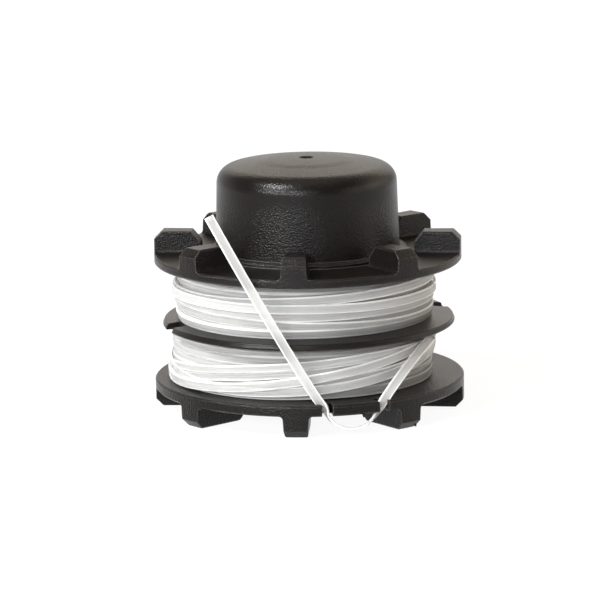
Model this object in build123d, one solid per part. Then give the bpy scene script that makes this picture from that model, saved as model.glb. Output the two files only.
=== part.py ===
from build123d import *
import math
import os

# Trimmer line spool: one black moulding with a bump knob, wound with flat white nylon line.
# Millimetres. +Z runs up the spool's axis, and z = 0 is the plane of the lower lugs' feet.
# Angles are in degrees from -Y towards +X, seen from above.

# Flanges and channels
LOWER_FLANGE_RADIUS = 33.3
LOWER_FLANGE_THICKNESS = 2.3
UPPER_FLANGE_RADIUS = 33.0
UPPER_FLANGE_THICKNESS = 1.85
MID_FLANGE_RADIUS = 31.4
MID_FLANGE_RIM = 1.25
MID_FLANGE_ROOT = 2.6
MID_RIM_STEP = 0.25
LOWER_CHANNEL_HEIGHT = 11.4
UPPER_CHANNEL_HEIGHT = 12.25
RIM_EDGE = 0.35
MID_RIM_EDGE = 0.2

# Hub and its blind bore, open at the bottom
HUB_RADIUS = 19.0
BORE_RADIUS = 17.0
ROOF_THICKNESS = 2.3
BORE_CORNER = 1.0

# Bump knob
COLLAR_RADIUS = 21.4
COLLAR_HEIGHT = 1.0
KNOB_BASE_RADIUS = 19.75
KNOB_SHOULDER_RADIUS = 19.25
KNOB_SHOULDER_HEIGHT = 18.4
KNOB_CROWN_RISE = 1.85
KNOB_CORNER = 3.8
LAND_RADIUS = 8.5
LAND_RISE = 0.15
DIMPLE_RADIUS = 1.7
DIMPLE_DEPTH = 0.8

# Lugs: the same count and width on both outer flanges, one above the other
LUG_COUNT = 8
LUG_WIDTH = 5.25
LUG_DRAFT = 0.12
LUG_TAPER = 2.5
LUG_EDGE = 0.25
LUG_RUN_IN = 0.06
UPPER_LUG_HEIGHT = 4.6
UPPER_LUG_LENGTH = 9.9
UPPER_LUG_OUTER_CHAMFER = 1.65
UPPER_LUG_INNER_RUN = 2.0
UPPER_LUG_INNER_DROP = 2.45
UPPER_LUG_FOOT = 0.8
LOWER_LUG_HEIGHT = 4.65
LOWER_LUG_LENGTH = 12.9
LOWER_LUG_OUTER_CHAMFER = 1.6
LOWER_LUG_INNER_CHAMFER = 0.9
LOWER_LUG_FOOT = 0.8

# Line notches in the lower flange, in two opposite pairs, and wide ones in the middle flange
LINE_NOTCH_WIDTH = 2.3
LINE_NOTCH_DEPTH = 4.0
LINE_NOTCH_ANGLES = (11.6, 33.4, 191.6, 213.4)
MID_NOTCH_WIDTH = 4.7
MID_NOTCH_DEPTH = 5.0
MID_NOTCH_ANGLES = (-67.5, 112.5)

# Line and its windings
LINE_WIDTH = 2.0
LINE_THICKNESS = 0.55
LINE_EDGE = 0.2
TURN_STAGGER = 0.2
WINDING_CLEARANCE = 0.15
LOWER_WINDING_RADIUS = 28.0
LOWER_WINDING_OFFSET = 1.45
LOWER_CROSSINGS = [(0.48, 0.7, 60, 1), (0.5, 0.95, 112.5, 2)]
UPPER_WINDING_RADIUS = 27.4
UPPER_WINDING_OFFSET = 0.9
UPPER_CROSSINGS = [(0.204, 0.51, -90, 1), (0.748, 0.45, 100, 1), (0.561, 0.06, -30, 1.9)]

# Free line end: a tube with the strip's own area of section, along a route chosen by hand
LINE_TUBE_RADIUS = 0.55
ARC_SHARE = 0.45
LINE_ROUTE = [
    (26.95, -9.3, 16.2),
    (24.6, -15.4, 14.8),
    (21.6, -20.9, 11.8),
    (18.0, -25.8, 8.5),
    (17.15, -26.5, 4.4),
    (15.0, -27.6, 2.2),
    (12.0, -28.9, 1.3),
    (9.0, -29.9, 1.9),
    (6.8, -30.6, 4.2),
    (6.1, -31.0, 8.1),
    (1.8, -32.2, 13.6),
    (-4.6, -32.8, 24.0),
    (-10.2, -33.0, 34.0),
    (-14.4, -32.8, 41.4),
    (-17.5, -32.5, 47.2),
]

# Levels that follow from the sizes above
LOWER_FLANGE_BOTTOM = LOWER_LUG_HEIGHT
LOWER_FLANGE_TOP = LOWER_FLANGE_BOTTOM + LOWER_FLANGE_THICKNESS
MID_FLANGE_BOTTOM = LOWER_FLANGE_TOP + LOWER_CHANNEL_HEIGHT
MID_FLANGE_TOP = MID_FLANGE_BOTTOM + MID_FLANGE_RIM
UPPER_FLANGE_BOTTOM = MID_FLANGE_TOP + UPPER_CHANNEL_HEIGHT
UPPER_FLANGE_TOP = UPPER_FLANGE_BOTTOM + UPPER_FLANGE_THICKNESS
KNOB_SHOULDER = UPPER_FLANGE_TOP + KNOB_SHOULDER_HEIGHT
KNOB_TOP = KNOB_SHOULDER + KNOB_CROWN_RISE
CROWN_RADIUS = (KNOB_SHOULDER_RADIUS**2 + KNOB_CROWN_RISE**2) / (2 * KNOB_CROWN_RISE)
CROWN_CENTRE = KNOB_TOP - CROWN_RADIUS


def facing(angle):
    """A turn about the axis that brings -Y to an angle."""
    return Rot(0, 0, angle)


def turned(face):
    """The solid swept by a section, drawn as radius and height, round the axis."""
    return revolve(Plane.XZ * face, Axis.Z)


def on_crown(radius, inset):
    """The height of a dome concentric with the knob's crown, at a radius."""
    return CROWN_CENTRE + math.sqrt((CROWN_RADIUS - inset) ** 2 - radius**2)


def crown_arc(outer, inner, inset):
    """The half section of such a dome, from one radius in to another."""
    ends = [(radius, on_crown(radius, inset)) for radius in (outer, (outer + inner) / 2, inner)]
    return ThreePointArc(*ends)


def corners(face, places):
    """The vertices of a section at the given radii and heights."""
    return [face.vertices().sort_by_distance(Vector(*place))[0] for place in places]


def spool_section():
    """Half of the turned section: hub, flanges, knob and the two rings that the lugs are left from."""
    slope = (KNOB_BASE_RADIUS - KNOB_SHOULDER_RADIUS) / KNOB_SHOULDER_HEIGHT
    collar_top = UPPER_FLANGE_TOP + COLLAR_HEIGHT
    lug_top = UPPER_FLANGE_TOP + UPPER_LUG_HEIGHT
    upper_inside = UPPER_FLANGE_RADIUS - UPPER_LUG_LENGTH
    lower_inside = LOWER_FLANGE_RADIUS - LOWER_LUG_LENGTH
    mid_rim_line = (MID_FLANGE_BOTTOM + MID_FLANGE_TOP) / 2
    shoulder = (KNOB_SHOULDER_RADIUS, KNOB_SHOULDER)
    bore_end = (BORE_RADIUS, on_crown(BORE_RADIUS, ROOF_THICKNESS))
    lower_lug = [
        (lower_inside, LOWER_FLANGE_BOTTOM),
        (lower_inside, LOWER_LUG_INNER_CHAMFER),
        (lower_inside + LOWER_LUG_INNER_CHAMFER, 0),
        (LOWER_FLANGE_RADIUS - LOWER_LUG_OUTER_CHAMFER, 0),
        (LOWER_FLANGE_RADIUS, LOWER_LUG_OUTER_CHAMFER),
    ]
    upper_lug = [
        (UPPER_FLANGE_RADIUS, lug_top - UPPER_LUG_OUTER_CHAMFER),
        (UPPER_FLANGE_RADIUS - UPPER_LUG_OUTER_CHAMFER, lug_top),
        (upper_inside + UPPER_LUG_INNER_RUN, lug_top),
        (upper_inside, lug_top - UPPER_LUG_INNER_DROP),
        (upper_inside, UPPER_FLANGE_TOP),
    ]
    mid_rims = [
        (MID_FLANGE_RADIUS, MID_FLANGE_BOTTOM),
        (MID_FLANGE_RADIUS - MID_RIM_STEP, MID_FLANGE_TOP),
    ]
    rims = [
        (LOWER_FLANGE_RADIUS, LOWER_FLANGE_TOP),
        (UPPER_FLANGE_RADIUS, UPPER_FLANGE_BOTTOM),
        (COLLAR_RADIUS, collar_top),
    ]
    outside = Polyline(
        (BORE_RADIUS, LOWER_FLANGE_BOTTOM),
        *lower_lug,
        rims[0],
        (HUB_RADIUS, LOWER_FLANGE_TOP),
        (HUB_RADIUS, MID_FLANGE_BOTTOM),
        mid_rims[0],
        (MID_FLANGE_RADIUS, mid_rim_line - MID_RIM_STEP / 2),
        (MID_FLANGE_RADIUS - MID_RIM_STEP, mid_rim_line + MID_RIM_STEP / 2),
        mid_rims[1],
        (HUB_RADIUS, MID_FLANGE_BOTTOM + MID_FLANGE_ROOT),
        (HUB_RADIUS, UPPER_FLANGE_BOTTOM),
        rims[1],
        *upper_lug,
        (COLLAR_RADIUS, UPPER_FLANGE_TOP),
        rims[2],
        (KNOB_BASE_RADIUS - slope * COLLAR_HEIGHT, collar_top),
        shoulder,
    )
    crown = crown_arc(KNOB_SHOULDER_RADIUS, LAND_RADIUS, 0)
    land_step = Line((LAND_RADIUS, on_crown(LAND_RADIUS, 0)), (LAND_RADIUS, on_crown(LAND_RADIUS, -LAND_RISE)))
    land = crown_arc(LAND_RADIUS, 0, -LAND_RISE)
    axis = Line((0, KNOB_TOP + LAND_RISE), (0, KNOB_TOP - ROOF_THICKNESS))
    roof = crown_arc(BORE_RADIUS, 0, ROOF_THICKNESS)
    bore = Line(bore_end, (BORE_RADIUS, LOWER_FLANGE_BOTTOM))
    face = make_face([outside, crown, land_step, land, axis, roof, bore])
    face = chamfer(corners(face, mid_rims), MID_RIM_EDGE)
    face = chamfer(corners(face, rims), RIM_EDGE)
    face = fillet(corners(face, [shoulder]), KNOB_CORNER)
    return fillet(corners(face, [bore_end]), BORE_CORNER)


def gate_dimple():
    """The small hollow that the moulding's gate leaves in the middle of the crown."""
    top = KNOB_TOP + LAND_RISE
    outline = Polyline(
        (0, top + DIMPLE_DEPTH),
        (DIMPLE_RADIUS, top + DIMPLE_DEPTH),
        (DIMPLE_RADIUS, on_crown(DIMPLE_RADIUS, -LAND_RISE)),
        (DIMPLE_RADIUS / 2, top - DIMPLE_DEPTH),
        (0, top - DIMPLE_DEPTH),
        close=True,
    )
    return turned(make_face(outline))


def lug_bar(radius, height, foot):
    """A radial bar towards -Y that covers a lug on z = 0: a filleted foot, a draft and softened top edges."""
    half = LUG_WIDTH / 2
    root = half + LUG_DRAFT
    middle = foot * (1 - math.sqrt(0.5))
    above = height + 2 * RIM_EDGE
    below = -4 * RIM_EDGE
    arc = ThreePointArc(
        (root + foot, -LUG_RUN_IN), (root + middle, middle - LUG_RUN_IN), (root, foot - LUG_RUN_IN)
    )
    outline = Polyline(
        (root, foot - LUG_RUN_IN),
        (half - LUG_DRAFT, height - LUG_EDGE),
        (half - LUG_DRAFT - LUG_EDGE, height),
        (half - LUG_DRAFT - LUG_EDGE, above),
        (0, above),
        (0, below),
        (root + foot, below),
        (root + foot, -LUG_RUN_IN),
    )
    side = extrude(Plane.XZ * make_face([outline, arc]), radius + 2 * RIM_EDGE)
    rim = Pos(half, -radius, 0)
    side = rim * Rot(0, 0, LUG_TAPER) * rim.inverse() * side
    return side + mirror(side, about=Plane.YZ)


def lug_gaps(radius, height, length, foot):
    """The space between the lugs of one flange, on z = 0, with the rim's softened edge below it."""
    inside = radius - length - RIM_EDGE
    outside = radius + RIM_EDGE
    outline = Polyline(
        (inside, 0),
        (radius - RIM_EDGE, 0),
        (outside, -2 * RIM_EDGE),
        (outside, height + RIM_EDGE),
        (inside, height + RIM_EDGE),
        close=True,
    )
    bar = lug_bar(radius, height, foot)
    return turned(make_face(outline)) - [facing(turn * 360 / LUG_COUNT) * bar for turn in range(LUG_COUNT)]


def rim_notch(radius, width, depth, bottom, height, angle):
    """A radial slot with a round end, cut in from a rim."""
    middle = radius - depth + width / 2
    slot = Pos(0, -middle, bottom) * Cylinder(width / 2, height, align=(Align.CENTER, Align.CENTER, Align.MIN))
    slot += Pos(0, -middle, bottom) * Box(width, depth, height, align=(Align.CENTER, Align.MAX, Align.MIN))
    return facing(angle) * slot


def spool_body():
    """The whole moulding."""
    body = turned(spool_section()) - gate_dimple()
    upper_gaps = lug_gaps(UPPER_FLANGE_RADIUS, UPPER_LUG_HEIGHT, UPPER_LUG_LENGTH, UPPER_LUG_FOOT)
    lower_gaps = lug_gaps(LOWER_FLANGE_RADIUS, LOWER_LUG_HEIGHT, LOWER_LUG_LENGTH, LOWER_LUG_FOOT)
    body -= Pos(0, 0, UPPER_FLANGE_TOP) * upper_gaps
    body -= Pos(0, 0, LOWER_FLANGE_BOTTOM) * mirror(lower_gaps, about=Plane.XY)
    for angle in LINE_NOTCH_ANGLES:
        body -= rim_notch(LOWER_FLANGE_RADIUS, LINE_NOTCH_WIDTH, LINE_NOTCH_DEPTH, LOWER_FLANGE_BOTTOM,
                          LOWER_FLANGE_THICKNESS, angle)
    for angle in MID_NOTCH_ANGLES:
        body -= rim_notch(MID_FLANGE_RADIUS, MID_NOTCH_WIDTH, MID_NOTCH_DEPTH, MID_FLANGE_BOTTOM,
                          MID_FLANGE_ROOT, angle)
    return body


def level_turns(low, high, outer):
    """Flat turns of line side by side as one turned solid, every other turn a little lower."""
    count = math.floor((high - low) / LINE_WIDTH)
    pitch = (high - low) / count
    outline = [(0, low)]
    for turn in range(count):
        radius = outer - (turn % 2) * TURN_STAGGER
        bottom = low + turn * pitch
        top = bottom + pitch
        outline += [(radius - LINE_EDGE, bottom), (radius, bottom + LINE_EDGE)]
        outline += [(radius, top - LINE_EDGE), (radius - LINE_EDGE, top)]
    outline.append((0, high))
    return turned(make_face(Polyline(*outline, close=True)))


def crossing_turn(radius, rise, toward):
    """A turn laid aslant over the level ones, highest at an angle."""
    tilt = math.degrees(math.atan(rise / radius))
    slice_width = 4 * radius
    roll = Cylinder(radius, 2 * (rise + LINE_WIDTH))
    turn = roll & (Rot(-tilt, 0, 0) * Box(slice_width, slice_width, LINE_WIDTH))
    return facing(toward) * chamfer(turn.edges().filter_by(GeomType.ELLIPSE), LINE_EDGE)


def room_of_spool():
    """The space that the hub and the middle flange take from the windings, clearance included."""
    hub = HUB_RADIUS + WINDING_CLEARANCE
    outline = Polyline(
        (0, LOWER_FLANGE_TOP),
        (hub, LOWER_FLANGE_TOP),
        (hub, MID_FLANGE_BOTTOM - WINDING_CLEARANCE),
        (MID_FLANGE_RADIUS, MID_FLANGE_BOTTOM - WINDING_CLEARANCE),
        (MID_FLANGE_RADIUS, MID_FLANGE_TOP + WINDING_CLEARANCE),
        (hub, MID_FLANGE_BOTTOM + MID_FLANGE_ROOT + WINDING_CLEARANCE),
        (hub, UPPER_FLANGE_BOTTOM),
        (0, UPPER_FLANGE_BOTTOM),
        close=True,
    )
    return turned(make_face(outline))


def winding(bottom, top, outer, offset, crossings):
    """A channel's winding: level turns side by side, and turns laid across them.

    A crossing is given as the share of the channel's height that it is centred at, the share of the
    largest tilt there, the angle of its high side and the layer that it lies in.
    """
    low = bottom + WINDING_CLEARANCE
    high = top - WINDING_CLEARANCE
    travel = high - low - LINE_WIDTH
    roll = level_turns(low, high, outer)
    for share, tilt_share, toward, layer in crossings:
        rise = tilt_share * min(share, 1 - share) * travel
        middle = low + LINE_WIDTH / 2 + share * travel
        roll += Pos(0, 0, middle) * crossing_turn(outer + layer * LINE_THICKNESS, rise, toward)
    return Pos(-offset, 0, 0) * roll - room_of_spool()


def line_free_end():
    """The free end of the line, out of the lower winding, through two notches and up to its cut end."""
    points = [Vector(*point) for point in LINE_ROUTE]
    radii = []
    for before, here, after in zip(points, points[1:], points[2:]):
        turn = math.radians((here - before).get_angle(after - here))
        shorter = min((here - before).length, (after - here).length)
        radii.append(ARC_SHARE * shorter / math.tan(turn / 2))
    path = FilletPolyline(*points, radius=radii)
    start = Plane(path @ 0, z_dir=path % 0)
    tube = sweep(start * Circle(LINE_TUBE_RADIUS), path=path)
    print("line radii:", [round(radius, 1) for radius in radii])
    section = math.pi * LINE_TUBE_RADIUS**2
    print("line length:", round(path.length, 1), "volume share:", round(tube.volume / (section * path.length), 4))
    return tube


def main():
    os.makedirs("parts", exist_ok=True)
    pieces = {
        "spool_body": spool_body(),
        "lower_line_winding": winding(LOWER_FLANGE_TOP, MID_FLANGE_BOTTOM, LOWER_WINDING_RADIUS,
                                      LOWER_WINDING_OFFSET, LOWER_CROSSINGS),
        "upper_line_winding": winding(MID_FLANGE_TOP, UPPER_FLANGE_BOTTOM, UPPER_WINDING_RADIUS,
                                      UPPER_WINDING_OFFSET, UPPER_CROSSINGS),
        "line_free_end": line_free_end(),
    }
    for name, piece in pieces.items():
        export_step(piece, f"parts/{name}.step")


main()
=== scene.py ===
import math

import bpy
import numpy as np
from mathutils import Matrix, Vector


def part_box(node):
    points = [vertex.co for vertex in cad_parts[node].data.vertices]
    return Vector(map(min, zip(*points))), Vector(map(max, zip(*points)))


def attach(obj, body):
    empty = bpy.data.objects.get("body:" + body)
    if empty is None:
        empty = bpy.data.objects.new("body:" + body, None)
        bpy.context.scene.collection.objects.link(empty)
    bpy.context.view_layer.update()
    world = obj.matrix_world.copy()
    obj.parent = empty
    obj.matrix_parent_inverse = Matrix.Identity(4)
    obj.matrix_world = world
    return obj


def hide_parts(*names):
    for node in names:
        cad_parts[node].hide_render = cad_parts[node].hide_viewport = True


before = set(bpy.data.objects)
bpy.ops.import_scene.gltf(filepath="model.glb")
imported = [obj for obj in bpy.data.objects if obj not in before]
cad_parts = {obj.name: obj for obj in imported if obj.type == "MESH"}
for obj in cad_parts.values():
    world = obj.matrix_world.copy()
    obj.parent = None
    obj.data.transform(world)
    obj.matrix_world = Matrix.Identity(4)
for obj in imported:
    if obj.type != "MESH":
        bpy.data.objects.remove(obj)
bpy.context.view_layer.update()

# Trimmer line spool: the looks of its black moulding and of the flat white line wound on it.
# Sizes are in millimetres unless a comment says metres.
# Angles are in degrees from -Y towards +X, seen from above.
MM = 0.001

# Camera, as fitted to the photograph; its reach is in metres
IMAGE_SIZE = 600
AIM_HEIGHT = 18.55
AIM_PIXEL = (308.59, 319.99)
CAMERA_DISTANCE = 910.7
CAMERA_AZIMUTH = 5.38
CAMERA_ELEVATION = 11.69
CAMERA_ROLL = 0.93
CAMERA_REACH = 20
PIXELS_PER_MM = 4.638
SENSOR_WIDTH = 36.0

# Lamps: name, azimuth, elevation, distance, width and height in metres, watts, colour
LAMPS = [
    ("left_panel", -36, 18, 0.8, 0.42, 0.09, 4.4, "#FFFFFF"),
    ("front_panel", -6, 16, 0.8, 0.14, 0.08, 2.2, "#F2F7FF"),
    ("shoulder_light", -44, 47, 0.7, 0.17, 0.08, 4.9, "#FFFFFF"),
    ("right_panel", 82, 14, 0.8, 0.8, 0.4, 1.7, "#FFF6EC"),
    ("right_rear", 115, 25, 0.8, 0.6, 0.6, 1.6, "#FFEFD8"),
    ("overhead", 0, 88, 0.8, 0.8, 0.8, 1.8, "#FFF6EC"),
    ("rear_top", 180, 32, 0.9, 1.0, 0.5, 2.3, "#FFF0DC"),
]

# Floor: half its side in metres, the light that it gives back, the light that shows on it, and its own white
FLOOR_HALF = 3.0
FLOOR_PAPER = (0.55, 0.55, 0.55, 1)
FLOOR_FAINT = (0.12, 0.12, 0.12, 1)
FLOOR_WHITE = (1, 1, 1, 1)
FLOOR_GLOW = 0.93

# Backdrop: its light on the object, and its fades, as axis of the direction, start, end and strength at each
WORLD_FILL = 0.03
BACKDROP_FADES = [
    ("Y", -0.1, 0.5, 0.0, 1.0),
    ("Z", 0.6, 0.2, 0.1, 1.0),
    ("X", 0.25, 0.8, 1.0, 0.3),
]

# Black nylon: edges rubbed smooth, from one cosine of their bend to another, and the colour of the painted
# highlight along them
EDGE_RADIUS = 0.4
EDGE_SAMPLES = 8
RUBBED_START = 0.98
RUBBED_FULL = 0.9
RUBBED_ROUGHNESS = 0.15
# Paler colour of the painted highlight on the rubbed edges
PAINTED_EDGE_HIGHLIGHT = "#454240"

# Black nylon: the pits of its grain, as wide as the photograph shows, and its patches of satin
GRAIN_WIDTH = 0.36
GRAIN_DEPTH = 0.1
PIT_BLACK = "#0E0C0B"
RIDGE_BLACK = "#171412"
PATCH_WIDTH = 14.0
PATCH_DETAIL = 3.0
SATIN_ROUGHNESS = (0.25, 0.33)
BLACK_IOR = 1.5
BLACK_SPECULAR = 0.2

# Share of the grain's depth, at shares of the knob's height from the feet up
KNOB_TOP = 54.1
GRAIN_DEPTHS = [
    (0.0, 1.0),
    (0.15, 1.0),
    (0.2, 0.35),
    (0.57, 0.35),
    (0.6, 1.0),
    (0.83, 1.0),
    (0.88, 0.35),
    (0.94, 0.35),
    (0.97, 0.9),
    (1.0, 0.9),
]

# White nylon: streaks along the line, drawn coarser than they are so that they show
STREAK_WIDTH = 0.2
STREAK_RUN = 40.0
STREAK_DETAIL = 2.0
STREAK_RANGE = (0.35, 0.65)
STREAK_DEPTH = 0.05
STREAK_STRENGTH = 0.5
DULL_WHITE = "#CBCBC8"
CLEAN_WHITE = "#F4F3F0"

# White nylon: the painted highlight on its edges and its clear middle, the painted shade on inner turns, and
# light that bleeds through
RIM_RANGE = (0.55, 0.95)
# Colour of the painted highlight on the line's edges
PAINTED_RIM_HIGHLIGHT = "#FBFAF7"
CLEAR_MIDDLE = 0.6
CLEAR_RIM = 0.05
HUB_SHADE = (0.5, 0.5, 0.5, 1.0)
LINE_ROUGHNESS = 0.3
LINE_IOR = 1.53
BLEED_SHARE = 0.6
BLEED_REACHES = (1.0, 0.95, 0.9)
BLEED_SCALE = 0.8

# Crown of the knob: its sphere, and the low land in its middle with the soft foot round it
CROWN_RADIUS = 101.08
CROWN_CENTRE = -47.13
LAND_RADIUS = 8.48
LAND_RISE = 0.15
LAND_FOOT_RADIUS = 10.8
FOOT_POINTS = 13
FOOT_STEPS = 180

# Flash left by the tool, as small nubs: root, tip and half width
FLASH_NUBS = [
    ((13.95, -29.9, 4.75), (14.05, -30.12, 3.95), 0.3),
    ((24.05, -20.85, 0.6), (24.35, -21.15, 0.03), 0.3),
]

# Rings of a nub, as shares of its run and of its half width, and the lumps that make it uneven
NUB_RINGS = [(0.0, 1.0), (0.4, 0.85), (0.75, 0.6), (0.95, 0.3)]
NUB_SIDES = 10
NUB_LUMPS = 3
NUB_LUMP_SIZE = 0.2
NUB_LUMP_SHIFTS = (2, 4)

# Flat nylon line and its windings
LINE_WIDTH = 2.0
LINE_THICKNESS = 0.55
LINE_CORNER = 0.17
LINE_CROWN = 0.03
CORNER_STEPS = 3
TURN_STEPS = 240
LOWER_WINDING = {"radius": 28.0, "offset": -1.45}
UPPER_WINDING = {"radius": 27.4, "offset": -0.9}

# Unevenness of a turn: size, waves to the turn, and share of the turn's own shift
HEIGHT_WAVES = [(0.05, 3, 1.0), (0.03, 7, 2.3)]
RADIUS_WAVE = (0.04, 2, 1.7)

# Shift of the unevenness from turn to turn, for the level, the sunken and the outer turns
LEVEL_SHIFT = 1.3
SUNKEN_SHIFT = 0.7
OUTER_SHIFT = 2.1

# Layer of the sunken turns, and the painted shade on turns near the hub: its mean, and its swing from left to
# right
SUNKEN_LAYER = -0.6
SHADE_MEAN = 0.65
SHADE_SWING = 0.5

# Turns of the outer layers: middle height, rise, angle of the high side, layer, lean of the flat to below
LOWER_TURNS = [
    (10.5, 2.3, 100.0, 0.9, 8.0),
    (12.42, 2.92, 80.0, 1.0, 6.0),
    (12.49, 3.07, 55.0, 1.15, 0.0),
    (12.88, 4.2, 161.5, 1.3, 0.0),
    (12.65, 4.45, 112.5, 2.0, 0.0),
]
UPPER_TURNS = [
    (20.9, 0.1, 40.0, 0.2, 16.0),
    (22.78, 1.03, -90.0, 0.55, 10.0),
    (24.7, 0.2, 30.0, 0.9, 0.0),
    (28.19, 1.13, 100.0, 1.15, 0.0),
    (26.33, 0.2, -30.0, 1.9, 0.0),
]

# Free end of the line: the way that its flat faces, and its route
FLAT_FACES = (0.09, -0.975, 0.203)
ROUTE_STEPS = 14
ROUTE_ORDER = 3
LINE_ROUTE = [
    (27.04, -8.34, 16.87),
    (25.78, -13.06, 15.92),
    (23.98, -17.35, 14.24),
    (21.88, -20.97, 11.89),
    (19.87, -23.79, 9.38),
    (18.48, -25.76, 7.56),
    (17.47, -26.69, 6.04),
    (16.71, -26.82, 4.57),
    (15.71, -27.19, 3.12),
    (14.43, -27.77, 1.96),
    (12.93, -28.51, 1.34),
    (11.30, -29.19, 1.22),
    (9.71, -29.75, 1.62),
    (8.32, -30.07, 2.33),
    (7.14, -30.37, 3.38),
    (6.39, -30.64, 4.54),
    (6.08, -30.81, 5.64),
    (5.58, -31.10, 6.57),
    (4.51, -31.32, 7.96),
    (2.85, -31.77, 10.77),
    (0.14, -32.23, 15.45),
    (-3.87, -32.71, 22.52),
    (-9.42, -33.03, 32.41),
    (-13.75, -32.94, 40.27),
    (-17.39, -32.98, 47.12),
]

# Twist of the free end: place in the route, and angle of its flat from the way that it faces
LINE_TWISTS = [
    (0, 0),
    (5, 0),
    (6, 25),
    (7, 60),
    (8, 84),
    (10, 90),
    (13, 90),
    (15, 75),
    (16, 50),
    (18, 8),
    (24, 0),
]


def linear(code):
    """An sRGB hex colour as linear red, green, blue and alpha."""
    shares = [int(code[place:place + 2], 16) / 255 for place in (1, 3, 5)]
    return [c / 12.92 if c <= 0.04045 else ((c + 0.055) / 1.055) ** 2.4 for c in shares] + [1.0]


def add(tree, kind, values=(), links=(), **settings):
    """A node with its settings, socket values and links."""
    node = tree.nodes.new(kind)
    for name, value in settings.items():
        setattr(node, name, value)
    for name, value in dict(values).items():
        node.inputs[name].default_value = value
    for name, socket in dict(links).items():
        tree.links.new(socket, node.inputs[name])
    return node


def new_material(name):
    """An empty node material and its tree, with only an output."""
    material = bpy.data.materials.new(name)
    material.use_nodes = True
    tree = material.node_tree
    tree.nodes.clear()
    output = tree.nodes.new("ShaderNodeOutputMaterial")
    return material, tree, output


def moulded_nylon():
    """Glass-filled nylon moulded in a spark-eroded tool: near black, sparkling grain, rubbed edges with a
    painted highlight.
    """
    material, tree, output = new_material("spark_eroded_black_nylon")
    place = add(tree, "ShaderNodeTexCoord").outputs["Object"]

    # Edges are rubbed where the softened normal bends away from the true one
    soft_edges = add(tree, "ShaderNodeBevel", {"Radius": EDGE_RADIUS * MM},
                     samples=EDGE_SAMPLES).outputs["Normal"]
    true_normal = add(tree, "ShaderNodeNewGeometry").outputs["Normal"]
    bend = add(tree, "ShaderNodeVectorMath", links={0: soft_edges, 1: true_normal}, operation="DOT_PRODUCT")
    rubbed = add(tree, "ShaderNodeMapRange", {"From Min": RUBBED_START, "From Max": RUBBED_FULL},
                 {"Value": bend.outputs["Value"]}).outputs["Result"]

    # The grain is deep at the lugs, the knob's side and crown, and shallow on its shoulder and in the channels
    grain = add(tree, "ShaderNodeTexVoronoi", {"Scale": 1 / (GRAIN_WIDTH * MM)},
                {"Vector": place}).outputs["Distance"]
    height = add(tree, "ShaderNodeSeparateXYZ", links={"Vector": place}).outputs["Z"]
    share = add(tree, "ShaderNodeMapRange", {"From Max": KNOB_TOP * MM}, {"Value": height}).outputs["Result"]
    depths = add(tree, "ShaderNodeFloatCurve", links={"Value": share})
    curve = depths.mapping.curves[0]
    curve.points[0].location = GRAIN_DEPTHS[0]
    curve.points[1].location = GRAIN_DEPTHS[-1]
    for point in GRAIN_DEPTHS[1:-1]:
        curve.points.new(*point)
    for point in curve.points:
        point.handle_type = "VECTOR"
    depths.mapping.update()
    depth = depths.outputs["Value"]
    bump = add(tree, "ShaderNodeBump", {"Distance": GRAIN_DEPTH * MM},
               {"Height": grain, "Strength": depth, "Normal": soft_edges}).outputs["Normal"]

    # Satin in soft patches, smoother where rubbed
    patch = add(tree, "ShaderNodeTexNoise", {"Scale": 1 / (PATCH_WIDTH * MM), "Detail": PATCH_DETAIL},
                {"Vector": place}).outputs["Fac"]
    satin = add(tree, "ShaderNodeMapRange", {"To Min": SATIN_ROUGHNESS[0], "To Max": SATIN_ROUGHNESS[1]},
                {"Value": patch}).outputs["Result"]
    rough = add(tree, "ShaderNodeMix", {"B": RUBBED_ROUGHNESS},
                {"Factor": rubbed, "A": satin}).outputs["Result"]

    # Pits blacker than their ridges, and a painted highlight on the rubbed edges, as strong as the grain is
    # deep
    grained = add(tree, "ShaderNodeMix", {"A": linear(PIT_BLACK), "B": linear(RIDGE_BLACK)},
                  {"Factor": grain}, data_type="RGBA").outputs["Result"]
    painted_highlight_share = add(tree, "ShaderNodeMath", links={0: rubbed, 1: depth}, operation="MULTIPLY").outputs["Value"]
    tint = add(tree, "ShaderNodeMix", {"B": linear(PAINTED_EDGE_HIGHLIGHT)}, {"Factor": painted_highlight_share, "A": grained},
               data_type="RGBA").outputs["Result"]
    surface = add(tree, "ShaderNodeBsdfPrincipled", {"IOR": BLACK_IOR, "Specular IOR Level": BLACK_SPECULAR},
                  {"Base Color": tint, "Roughness": rough, "Normal": bump})
    tree.links.new(surface.outputs["BSDF"], output.inputs["Surface"])
    return material


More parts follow.
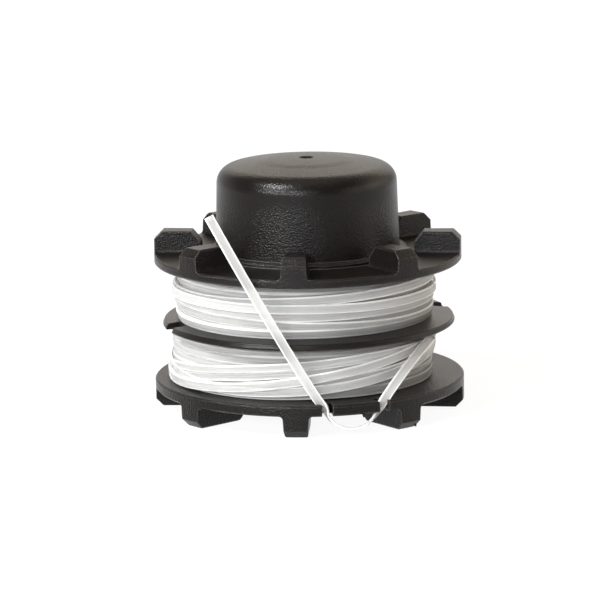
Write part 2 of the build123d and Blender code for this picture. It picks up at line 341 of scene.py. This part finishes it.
def extruded_line():
    """Clear nylon line, extruded flat: milky, light bleeds through, painted highlight on its edges, faint
    streaks along it.
    """
    material, tree, output = new_material("extruded_white_nylon_line")

    # Streaks run along the line, in the millimetres of its strip
    place = add(tree, "ShaderNodeUVMap", uv_map="strip").outputs["UV"]
    stretch = add(tree, "ShaderNodeMapping", {"Scale": (1 / STREAK_RUN, 1 / STREAK_WIDTH, 1.0)},
                  {"Vector": place}).outputs["Vector"]
    streak = add(tree, "ShaderNodeTexNoise", {"Scale": 1.0, "Detail": STREAK_DETAIL},
                 {"Vector": stretch}).outputs["Fac"]
    fine = add(tree, "ShaderNodeMapRange", {"From Min": STREAK_RANGE[0], "From Max": STREAK_RANGE[1]},
               {"Value": streak}).outputs["Result"]
    bump = add(tree, "ShaderNodeBump", {"Strength": STREAK_STRENGTH, "Distance": STREAK_DEPTH * MM},
               {"Height": streak}).outputs["Normal"]

    # The edges get a painted highlight, and turns near the hub a painted shade, darker to the right
    edge = add(tree, "ShaderNodeAttribute", attribute_name="edge").outputs["Fac"]
    painted_rim_mask = add(tree, "ShaderNodeMapRange", {"From Min": RIM_RANGE[0], "From Max": RIM_RANGE[1]},
              {"Value": edge}, interpolation_type="SMOOTHSTEP").outputs["Result"]
    flat = add(tree, "ShaderNodeMix", {"A": linear(DULL_WHITE), "B": linear(CLEAN_WHITE)}, {"Factor": fine},
               data_type="RGBA").outputs["Result"]
    tint = add(tree, "ShaderNodeMix", {"B": linear(PAINTED_RIM_HIGHLIGHT)}, {"Factor": painted_rim_mask, "A": flat},
               data_type="RGBA").outputs["Result"]
    painted_shade = add(tree, "ShaderNodeAttribute", attribute_name="painted_shade").outputs["Fac"]
    shaded = add(tree, "ShaderNodeMix", {"B": HUB_SHADE}, {"Factor": painted_shade, "A": tint},
                 data_type="RGBA", blend_type="MULTIPLY").outputs["Result"]

    # Milky nylon at the edges, clearer in the middle
    milky = add(tree, "ShaderNodeBsdfPrincipled",
                {"Roughness": LINE_ROUGHNESS, "IOR": LINE_IOR, "Subsurface Weight": BLEED_SHARE,
                 "Subsurface Radius": BLEED_REACHES, "Subsurface Scale": BLEED_SCALE * MM},
                {"Base Color": shaded, "Normal": bump}).outputs["BSDF"]
    clear = add(tree, "ShaderNodeBsdfTransparent").outputs["BSDF"]
    through = add(tree, "ShaderNodeMapRange", {"To Min": CLEAR_MIDDLE, "To Max": CLEAR_RIM},
                  {"Value": painted_rim_mask}).outputs["Result"]
    surface = add(tree, "ShaderNodeMixShader", links={0: through, 1: milky, 2: clear})
    tree.links.new(surface.outputs["Shader"], output.inputs["Surface"])
    return material


def new_piece(name, vertices, faces, material):
    """A mesh object of one material, put in the scene."""
    mesh = bpy.data.meshes.new(name)
    mesh.from_pydata(vertices, [], faces)
    mesh.materials.append(material)
    piece = bpy.data.objects.new(name, mesh)
    bpy.context.scene.collection.objects.link(piece)
    return piece


def joined_rings(first, rings, around, rings_close, sides_close):
    """Four-sided faces between rings of vertices that follow each other."""
    faces = []
    for ring in range(rings if rings_close else rings - 1):
        here = first + ring * around
        there = first + ((ring + 1) % rings) * around
        for side in range(around if sides_close else around - 1):
            beside = (side + 1) % around
            faces.append((here + side, here + beside, there + beside, there + side))
    return faces


def strip_section():
    """The line's section as places across its width and out of its flat face, with round corners."""
    wide = LINE_WIDTH / 2 - LINE_CORNER
    thick = LINE_THICKNESS / 2 - LINE_CORNER
    section = []
    for quarter, (across, out) in enumerate([(wide, thick), (-wide, thick), (-wide, -thick), (wide, -thick)]):
        for step in range(CORNER_STEPS + 1):
            angle = math.radians(90 * (quarter + step / CORNER_STEPS))
            section.append((across + LINE_CORNER * math.cos(angle), out + LINE_CORNER * math.sin(angle)))
        if quarter in (0, 2):
            crown = LINE_CROWN if quarter == 0 else -LINE_CROWN
            section.append((0.0, math.copysign(LINE_THICKNESS / 2, crown) + crown))
    return section


def unit(vectors):
    """Vectors along the last axis, brought to length 1."""
    return vectors / np.linalg.norm(vectors, axis=-1, keepdims=True)


class Strips:
    """Lengths of flat line, gathered into one mesh."""

    def __init__(self):
        self.vertices = []
        self.faces = []
        self.places = []
        self.depths = []
        self.section = np.array(strip_section())

    def lay(self, centres, across, outward, closed, painted_shade=0.0):
        """One length of line along its centres, with its share of painted shade."""
        first = len(self.vertices)
        count = len(centres)
        around = len(self.section)
        for centre, wide, out in zip(centres, across, outward):
            for share_wide, share_out in self.section:
                self.vertices.append(tuple((centre + share_wide * wide + share_out * out) * MM))
        self.depths.append(np.repeat(np.broadcast_to(painted_shade, count), around))
        self.faces.extend(joined_rings(first, count, around, closed, True))
        runs = np.linalg.norm(np.roll(centres, -1, axis=0) - centres, axis=1)
        along = np.concatenate([[0.0], np.cumsum(runs)])
        edge = np.linalg.norm(np.roll(self.section, -1, axis=0) - self.section, axis=1)
        girth = np.concatenate([[0.0], np.cumsum(edge)])
        for step in range(count if closed else count - 1):
            for side in range(around):
                self.places.append([(along[step], girth[side]), (along[step], girth[side + 1]),
                                    (along[step + 1], girth[side + 1]), (along[step + 1], girth[side])])
        if not closed:
            for ring, turn in ((0, -1), (count - 1, 1)):
                cap = [first + ring * around + side for side in range(around)][::turn]
                self.faces.append(tuple(cap))
                self.places.append([(along[ring], girth[side]) for side in range(around)][::turn])

    def piece(self, name, material):
        """The mesh object of all the lengths."""
        piece = new_piece(name, self.vertices, self.faces, material)
        mesh = piece.data
        layer = mesh.uv_layers.new(name="strip")
        layer.data.foreach_set("uv", [value for face in self.places for place in face for value in place])
        shares = np.abs(self.section[:, 0]) / (LINE_WIDTH / 2)
        edge = mesh.attributes.new("edge", "FLOAT", "POINT")
        edge.data.foreach_set("value", np.tile(shares, len(self.vertices) // len(shares)))
        # Share of painted shade at each vertex
        painted_shade = mesh.attributes.new("painted_shade", "FLOAT", "POINT")
        painted_shade.data.foreach_set("value", np.concatenate(self.depths))
        mesh.shade_smooth()
        return piece


def wound_turn(strips, form, shift, middle, layer, rise=0.0, toward=0.0, lean=0.0):
    """One turn of line round the spool, aslant by its rise, with a little unevenness of its own."""
    angle = np.linspace(0, 2 * math.pi, TURN_STEPS, endpoint=False)
    uneven = sum(size * np.sin(waves * angle + share * shift) for size, waves, share in HEIGHT_WAVES)
    height = middle + rise * np.cos(angle - math.radians(toward)) + uneven
    radius = form["radius"] + layer * LINE_THICKNESS - LINE_THICKNESS / 2 - LINE_CROWN
    size, waves, share = RADIUS_WAVE
    radius = radius + size * np.sin(waves * angle + share * shift)
    outward = np.stack([np.sin(angle), -np.cos(angle), np.zeros_like(angle)], axis=-1)
    centres = outward * radius[:, None]
    centres[:, 0] += form["offset"]
    centres[:, 2] = height
    tangent = unit(np.roll(centres, -1, axis=0) - np.roll(centres, 1, axis=0))
    upright = unit(np.cross(outward, tangent))
    tilt = math.radians(lean)
    across = upright * math.cos(tilt) + np.cross(tangent, upright) * math.sin(tilt)
    # Painted shade on the turns at the base layer and below it, darker to the right and lighter to the left
    painted_shade = max(1.0 - layer, 0.0) * (SHADE_MEAN + SHADE_SWING * np.sin(angle))
    strips.lay(centres, across, np.cross(tangent, across), True, painted_shade)


def winding(node, form, turns, material):
    """All that shows of a winding: level turns, sunken ones between them, and outer turns laid over both."""
    low, high = (corner.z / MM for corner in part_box(node))
    count = math.ceil((high - low) / LINE_WIDTH)
    pitch = (high - low - LINE_WIDTH) / (count - 1)
    lowest = low + LINE_WIDTH / 2
    strips = Strips()
    for turn in range(count):
        wound_turn(strips, form, LEVEL_SHIFT * turn, lowest + turn * pitch, 0.0)
    for turn in range(count - 1):
        wound_turn(strips, form, SUNKEN_SHIFT * turn, lowest + (turn + 0.5) * pitch, SUNKEN_LAYER)
    for turn, (middle, rise, toward, layer, lean) in enumerate(turns):
        wound_turn(strips, form, OUTER_SHIFT * turn, middle, layer, rise, toward, lean)
    piece = strips.piece(node.replace("winding", "turns"), material)
    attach(piece, "root")
    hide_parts(node)


def smooth_route(route):
    """The points of a smooth line led by the route, in metres."""
    curve = bpy.data.curves.new("line_route", "CURVE")
    curve.dimensions = "3D"
    curve.resolution_u = ROUTE_STEPS
    spline = curve.splines.new("NURBS")
    spline.points.add(len(route) - 1)
    for point, place in zip(spline.points, route):
        point.co = (*(value * MM for value in place), 1.0)
    spline.order_u = ROUTE_ORDER
    spline.use_endpoint_u = True
    guide = bpy.data.objects.new("line_route", curve)
    mesh = bpy.data.meshes.new_from_object(guide)
    points = np.array([vertex.co for vertex in mesh.vertices])
    bpy.data.objects.remove(guide)
    bpy.data.curves.remove(curve)
    bpy.data.meshes.remove(mesh)
    return points


def free_end(material):
    """The free end of the line, out of the lower winding, through two notches and up to its cut end."""
    path = smooth_route(LINE_ROUTE)
    centres = path / MM
    tangent = unit(np.gradient(centres, axis=0))
    marks = []
    for index, _ in LINE_TWISTS:
        marks.append(int(np.argmin(np.linalg.norm(centres - np.array(LINE_ROUTE[index]), axis=1))))
    angles = np.interp(np.arange(len(centres)), marks, [angle for _, angle in LINE_TWISTS])
    twist = np.radians(angles)[:, None]
    faces = unit(np.array(FLAT_FACES))
    beside = unit(np.cross(tangent, faces))
    across = beside * np.cos(twist) + np.cross(beside, tangent) * np.sin(twist)
    strips = Strips()
    strips.lay(centres, across, np.cross(tangent, across), False)
    piece = strips.piece("line_free_strip", material)
    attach(piece, "root")
    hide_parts("line_free_end")


def dress_moulding(material):
    """The moulding keeps its own form and takes its finish."""
    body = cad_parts["spool_body"]
    body.data.materials.clear()
    body.data.materials.append(material)


def land_foot(material):
    """The soft foot by which the crown's low land runs out into the crown."""
    section = []
    for share in np.linspace(0, 1, FOOT_POINTS):
        radius = LAND_RADIUS + (LAND_FOOT_RADIUS - LAND_RADIUS) * share
        lift = LAND_RISE * (0.5 + 0.5 * math.cos(math.pi * share))
        section.append((radius, CROWN_CENTRE + math.sqrt((CROWN_RADIUS + lift) ** 2 - radius**2)))
    vertices = []
    for step in range(FOOT_STEPS):
        turn = 2 * math.pi * step / FOOT_STEPS
        for radius, height in section:
            vertices.append((radius * math.cos(turn) * MM, radius * math.sin(turn) * MM, height * MM))
    faces = joined_rings(0, FOOT_STEPS, FOOT_POINTS, True, False)
    piece = new_piece("crown_land_foot", vertices, faces, material)
    piece.data.shade_smooth()
    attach(piece, "root")


def flash_nubs(material):
    """Small uneven nubs of flash at the lower edges of the moulding."""
    vertices = []
    faces = []
    number_shift, along_shift = NUB_LUMP_SHIFTS
    for number, (root, tip, half) in enumerate(FLASH_NUBS):
        first = len(vertices)
        root = Vector(root)
        run = Vector(tip) - root
        across = run.orthogonal().normalized()
        beside = run.cross(across).normalized()
        for along, share in NUB_RINGS:
            for side in range(NUB_SIDES):
                turn = 2 * math.pi * side / NUB_SIDES
                lump = math.sin(NUB_LUMPS * turn + number_shift * number + along_shift * along)
                reach = half * share * (1 + NUB_LUMP_SIZE * lump)
                place = root + run * along + (across * math.cos(turn) + beside * math.sin(turn)) * reach
                vertices.append(place * MM)
        last = len(vertices) - NUB_SIDES
        faces.extend(joined_rings(first, len(NUB_RINGS), NUB_SIDES, False, True))
        faces.append(tuple(first + side for side in reversed(range(NUB_SIDES))))
        faces.append(tuple(last + side for side in range(NUB_SIDES)))
    piece = new_piece("moulding_flash", vertices, faces, material)
    piece.data.shade_smooth()
    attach(piece, "root")


def seen_directly(tree):
    """A socket that is 1 for what the camera, a reflection or a clear piece shows, and 0 for other light."""
    rays = add(tree, "ShaderNodeLightPath").outputs
    shown = add(tree, "ShaderNodeMath", links={0: rays["Is Camera Ray"], 1: rays["Is Glossy Ray"]},
                operation="ADD", use_clamp=True).outputs["Value"]
    return add(tree, "ShaderNodeMath", links={0: shown, 1: rays["Is Transmission Ray"]},
               operation="ADD", use_clamp=True).outputs["Value"]


def floor():
    """A pale floor that shows white, keeps a faint shadow and gives light back from below."""
    material, tree, output = new_material("white_paper_floor")
    paper = add(tree, "ShaderNodeBsdfDiffuse", {"Color": FLOOR_PAPER}).outputs["BSDF"]
    faint = add(tree, "ShaderNodeBsdfDiffuse", {"Color": FLOOR_FAINT}).outputs["BSDF"]
    glow = add(tree, "ShaderNodeEmission", {"Color": FLOOR_WHITE, "Strength": FLOOR_GLOW}).outputs["Emission"]
    white = add(tree, "ShaderNodeAddShader", links={0: faint, 1: glow}).outputs["Shader"]
    mix = add(tree, "ShaderNodeMixShader", links={0: seen_directly(tree), 1: paper, 2: white})
    tree.links.new(mix.outputs["Shader"], output.inputs["Surface"])
    half = FLOOR_HALF
    corners = [(-half, -half, 0), (half, -half, 0), (half, half, 0), (-half, half, 0)]
    piece = new_piece("floor", corners, [(0, 1, 2, 3)], material)


def backdrop_light():
    """A world that shows white behind the object, fades above and to the right, and lights it softly."""
    world = bpy.data.worlds.new("white_studio")
    bpy.context.scene.world = world
    world.use_nodes = True
    tree = world.node_tree
    tree.nodes.clear()
    way = add(tree, "ShaderNodeTexCoord").outputs["Generated"]
    sides = add(tree, "ShaderNodeSeparateXYZ", links={"Vector": way}).outputs
    fades = []
    for axis, start, end, first, last in BACKDROP_FADES:
        fade = add(tree, "ShaderNodeMapRange",
                   {"From Min": start, "From Max": end, "To Min": first, "To Max": last},
                   {"Value": sides[axis]}, interpolation_type="SMOOTHSTEP")
        fades.append(fade.outputs["Result"])
    behind, above, right = fades
    raised = add(tree, "ShaderNodeMath", links={0: behind, 1: above}, operation="MULTIPLY").outputs["Value"]
    strength = add(tree, "ShaderNodeMath", links={0: raised, 1: right}, operation="MULTIPLY").outputs["Value"]
    shown = add(tree, "ShaderNodeBackground", links={"Strength": strength}).outputs["Background"]
    fill = add(tree, "ShaderNodeBackground", {"Strength": WORLD_FILL}).outputs["Background"]
    mix = add(tree, "ShaderNodeMixShader", links={0: seen_directly(tree), 1: fill, 2: shown})
    add(tree, "ShaderNodeOutputWorld", links={"Surface": mix.outputs["Shader"]})


def direction(azimuth, elevation):
    """A unit vector towards an azimuth from -Y, to the right, and an elevation."""
    turn = math.radians(azimuth)
    lift = math.radians(elevation)
    return Vector((math.sin(turn) * math.cos(lift), -math.cos(turn) * math.cos(lift), math.sin(lift)))


def softbox(name, azimuth, elevation, distance, width, height, power, colour):
    """An area lamp that faces the spool."""
    lamp = bpy.data.lights.new(name, "AREA")
    lamp.shape = "RECTANGLE"
    lamp.size = width
    lamp.size_y = height
    lamp.energy = power
    lamp.color = linear(colour)[:3]
    piece = bpy.data.objects.new(name, lamp)
    middle = Vector((0, 0, AIM_HEIGHT * MM))
    toward = direction(azimuth, elevation)
    piece.location = middle + toward * distance
    piece.rotation_euler = toward.to_track_quat("Z", "Y").to_euler()
    bpy.context.scene.collection.objects.link(piece)


def camera():
    """The photograph's camera: a long lens, a little above the spool."""
    toward = direction(CAMERA_AZIMUTH, CAMERA_ELEVATION)
    right = Vector((0, 0, 1)).cross(toward).normalized()
    up = toward.cross(right)
    aim = Vector((0, 0, AIM_HEIGHT * MM))
    position = aim + toward * CAMERA_DISTANCE * MM
    middle = IMAGE_SIZE / 2
    aim += right * (middle - AIM_PIXEL[0]) / PIXELS_PER_MM * MM
    aim += up * (AIM_PIXEL[1] - middle) / PIXELS_PER_MM * MM
    back = (position - aim).normalized()
    right = up.cross(back).normalized()
    up = back.cross(right)
    roll = math.radians(CAMERA_ROLL)
    right, up = right * math.cos(roll) - up * math.sin(roll), up * math.cos(roll) + right * math.sin(roll)
    data = bpy.data.cameras.new("camera")
    data.sensor_width = SENSOR_WIDTH
    data.lens = PIXELS_PER_MM * CAMERA_DISTANCE / IMAGE_SIZE * SENSOR_WIDTH
    data.clip_end = CAMERA_REACH
    piece = bpy.data.objects.new("camera", data)
    piece.matrix_world = Matrix((right, up, back)).transposed().to_4x4()
    piece.matrix_world.translation = position
    bpy.context.scene.collection.objects.link(piece)
    bpy.context.scene.camera = piece


camera()
line = extruded_line()
free_end(line)
winding("lower_line_winding", LOWER_WINDING, LOWER_TURNS, line)
winding("upper_line_winding", UPPER_WINDING, UPPER_TURNS, line)
black = moulded_nylon()
dress_moulding(black)
land_foot(black)
flash_nubs(black)
floor()
backdrop_light()
for lamp in LAMPS:
    softbox(*lamp)
bpy.context.scene.view_settings.view_transform = "Standard"
